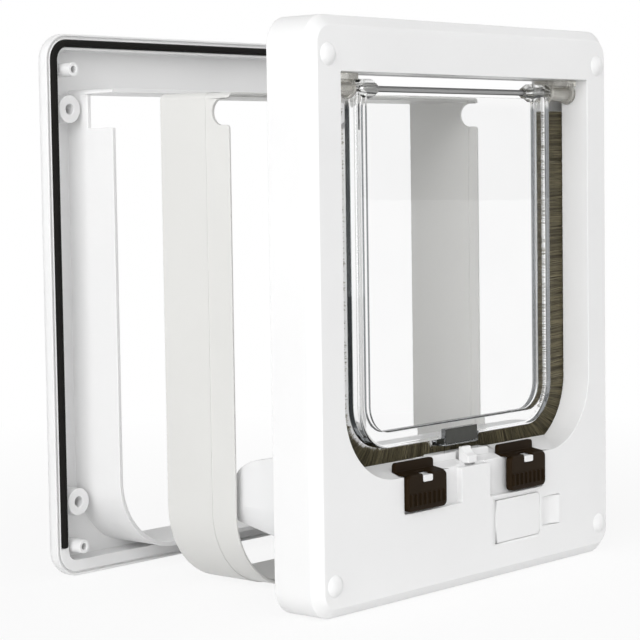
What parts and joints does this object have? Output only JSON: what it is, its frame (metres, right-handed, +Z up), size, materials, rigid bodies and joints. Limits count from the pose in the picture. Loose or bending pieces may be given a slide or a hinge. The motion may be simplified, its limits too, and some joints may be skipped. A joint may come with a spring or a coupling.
{
  "type": "cat flap",
  "caption": "Pet door for a house door: inner frame with a clear swinging flap, lock sliders and a magnet latch, a tunnel sleeve, and an outer frame with a foam seal, standing apart.",
  "frame": {"origin": "on the floor under the middle of the whole arrangement", "axes": "+X to the right across the door as seen from the room, +Y from the room towards the garden, +Z up"},
  "size_m": [0.211, 0.172, 0.244],
  "materials": {
    "frame_white": "white moulded plastic, satin gloss",
    "housing_white": "white moulded plastic, satin gloss",
    "tunnel_grey": "off-white moulded plastic, matt inside",
    "clear_frosted": "translucent frosted plastic",
    "flap_clear": "crystal clear plastic",
    "pile_brown": "dense dark bristle pile",
    "carrier_white": "extruded white plastic channel",
    "slider_brown": "dark brown moulded plastic",
    "seal_black": "black foam",
    "magnet_dark": "sintered ferrite magnet",
    "rod_steel": "drawn steel rod",
    "zinc_steel": "zinc plated steel",
    "coil_copper": "enamelled copper winding",
    "battery_jacket": "plain dark jacket",
    "snap_black": "black plastic clip",
    "board_green": "coated circuit board",
    "reed_glass": "clear glass tube"
  },
  "bodies": {
    "housing": {"front_frame": "frame_white", "back_cover": "frame_white", "sensor_housing": "housing_white", "screw_cap_1": "frame_white", "screw_cap_2": "frame_white", "screw_cap_3": "frame_white", "screw_cap_4": "frame_white", "hinge_socket_left": "clear_frosted", "hinge_socket_right": "clear_frosted", "brush_pile_left": "pile_brown", "brush_pile_right": "pile_brown", "brush_pile_bottom": "pile_brown", "brush_carrier_left": "carrier_white", "brush_carrier_right": "carrier_white", "brush_carrier_bottom": "carrier_white", "latch_guide": "frame_white", "solenoid_coil": "coil_copper", "solenoid_yoke": "zinc_steel", "latch_spring": "zinc_steel", "battery": "battery_jacket", "battery_snap": "snap_black", "circuit_board": "board_green", "circuit_board_screws": "zinc_steel", "reed_switch": "reed_glass", "back_cover_screws": "zinc_steel", "sensor_housing_screws": "zinc_steel", "tunnel_sleeve": "tunnel_grey", "outer_frame": "frame_white", "weather_seal": "seal_black"},
    "flap": {"flap_panel": "flap_clear", "flap_magnet": "magnet_dark", "hinge_rod": "rod_steel"},
    "lock_left": {"lock_slider_left": "slider_brown", "slider_peg_left": "frame_white"},
    "lock_right": {"lock_slider_right": "slider_brown", "slider_peg_right": "frame_white"},
    "latch": {"latch_tongue": "frame_white", "latch_plunger": "zinc_steel"},
    "battery_door": {"battery_cover": "frame_white"}
  },
  "joints": [
    {"name": "flap_swing", "type": "hinge", "parent": "housing", "child": "flap", "pos_m": [0, -0.07185, 0.2153], "axis": [1, 0, 0], "range_deg": [-80, 80]},
    {"name": "lock_left_slide", "type": "slide", "parent": "housing", "child": "lock_left", "axis": [0, 0, 1], "range_m": [0, 0.008]},
    {"name": "lock_right_slide", "type": "slide", "parent": "housing", "child": "lock_right", "axis": [0, 0, 1], "range_m": [0, 0.0056]},
    {"name": "latch_slide", "type": "slide", "parent": "housing", "child": "latch", "axis": [0, 0, 1], "range_m": [0, 0.003], "deforming": ["latch_spring"]},
    {"name": "battery_door_swing", "type": "hinge", "parent": "housing", "child": "battery_door", "pos_m": [0.01475, -0.08225, 0.0253], "axis": [0, 0, -1], "range_deg": [0, 90]}
  ]
}
